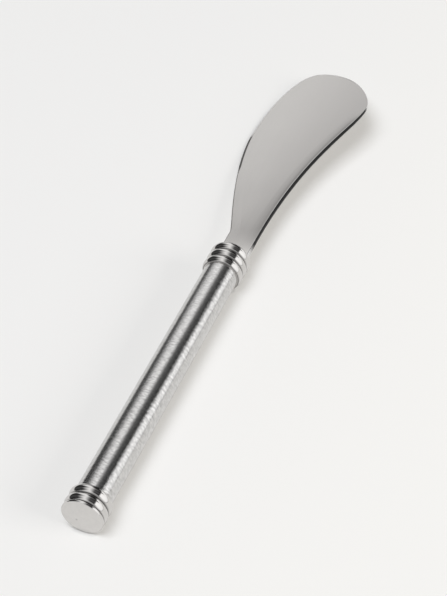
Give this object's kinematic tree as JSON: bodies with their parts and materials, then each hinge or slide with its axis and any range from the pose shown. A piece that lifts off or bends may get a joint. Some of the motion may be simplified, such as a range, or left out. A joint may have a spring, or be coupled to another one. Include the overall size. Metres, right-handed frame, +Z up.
{
  "type": "butter knife",
  "caption": "Butter knife with a broad flat spreading blade, a beaded collar, a round brushed tube handle and a beaded cap with a flat end.",
  "frame": {"origin": "centre of the end cap's flat face, on the handle's axis", "axes": "+Y along the handle's axis from the cap to the blade's tip, +Z up with the knife lying on its beads and the blade's belly edge"},
  "size_m": [0.026, 0.1509, 0.0095],
  "materials": {
    "blade_steel": "satin polished stainless steel",
    "polished_steel": "bright polished stainless steel",
    "brushed_tube": "stainless steel brushed round the tube",
    "cast_resin": "cast resin, hidden"
  },
  "bodies": {
    "root": {"blade": "blade_steel", "front_ferrule": "polished_steel", "handle_tube": "brushed_tube", "resin_core": "cast_resin", "end_cap": "polished_steel"}
  },
  "joints": []
}
